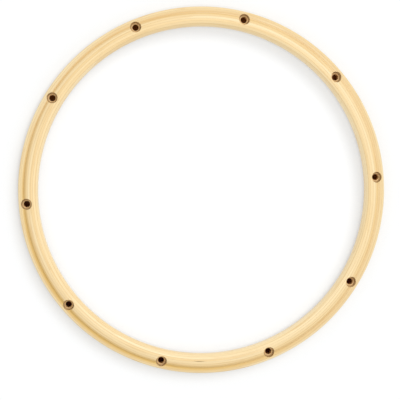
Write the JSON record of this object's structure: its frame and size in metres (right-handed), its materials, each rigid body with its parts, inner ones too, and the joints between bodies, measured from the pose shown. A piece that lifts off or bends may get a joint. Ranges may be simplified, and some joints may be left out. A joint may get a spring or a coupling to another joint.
{
  "type": "drum hoop",
  "caption": "Laminated bent maple drum hoop with a rounded bead, a lower outer ledge, a rebate for the drum head, and counterbored holes for the tension rods.",
  "frame": {"origin": "centre of the ring, on its flat underside", "axes": "+Z is the ring's axis, from the underside towards the player; +X passes through the first tension rod hole"},
  "size_m": [0.401, 0.401, 0.026],
  "materials": {
    "maple_face": "clear satin lacquer on straight-grained maple",
    "maple_odd_ply": "clear satin lacquer where it shows, raw glued faces inside",
    "maple_even_ply": "clear satin lacquer where it shows, raw glued faces inside"
  },
  "bodies": {
    "root": {"ply_1_inner_face": "maple_face", "ply_2_lip": "maple_even_ply", "ply_3_lip": "maple_odd_ply", "ply_4_core": "maple_even_ply", "ply_5_core_arc_01": "maple_odd_ply", "ply_5_core_arc_02": "maple_odd_ply", "ply_5_core_arc_03": "maple_odd_ply", "ply_5_core_arc_04": "maple_odd_ply", "ply_5_core_arc_05": "maple_odd_ply", "ply_5_core_arc_06": "maple_odd_ply", "ply_5_core_arc_07": "maple_odd_ply", "ply_5_core_arc_08": "maple_odd_ply", "ply_5_core_arc_09": "maple_odd_ply", "ply_5_core_arc_10": "maple_odd_ply", "ply_5_core_arc_11": "maple_odd_ply", "ply_6_core_arc_01": "maple_even_ply", "ply_6_core_arc_02": "maple_even_ply", "ply_6_core_arc_03": "maple_even_ply", "ply_6_core_arc_04": "maple_even_ply", "ply_6_core_arc_05": "maple_even_ply", "ply_6_core_arc_06": "maple_even_ply", "ply_6_core_arc_07": "maple_even_ply", "ply_6_core_arc_08": "maple_even_ply", "ply_6_core_arc_09": "maple_even_ply", "ply_6_core_arc_10": "maple_even_ply", "ply_6_core_arc_11": "maple_even_ply", "ply_7_ledge": "maple_odd_ply", "ply_8_outer_face": "maple_face"}
  },
  "joints": []
}
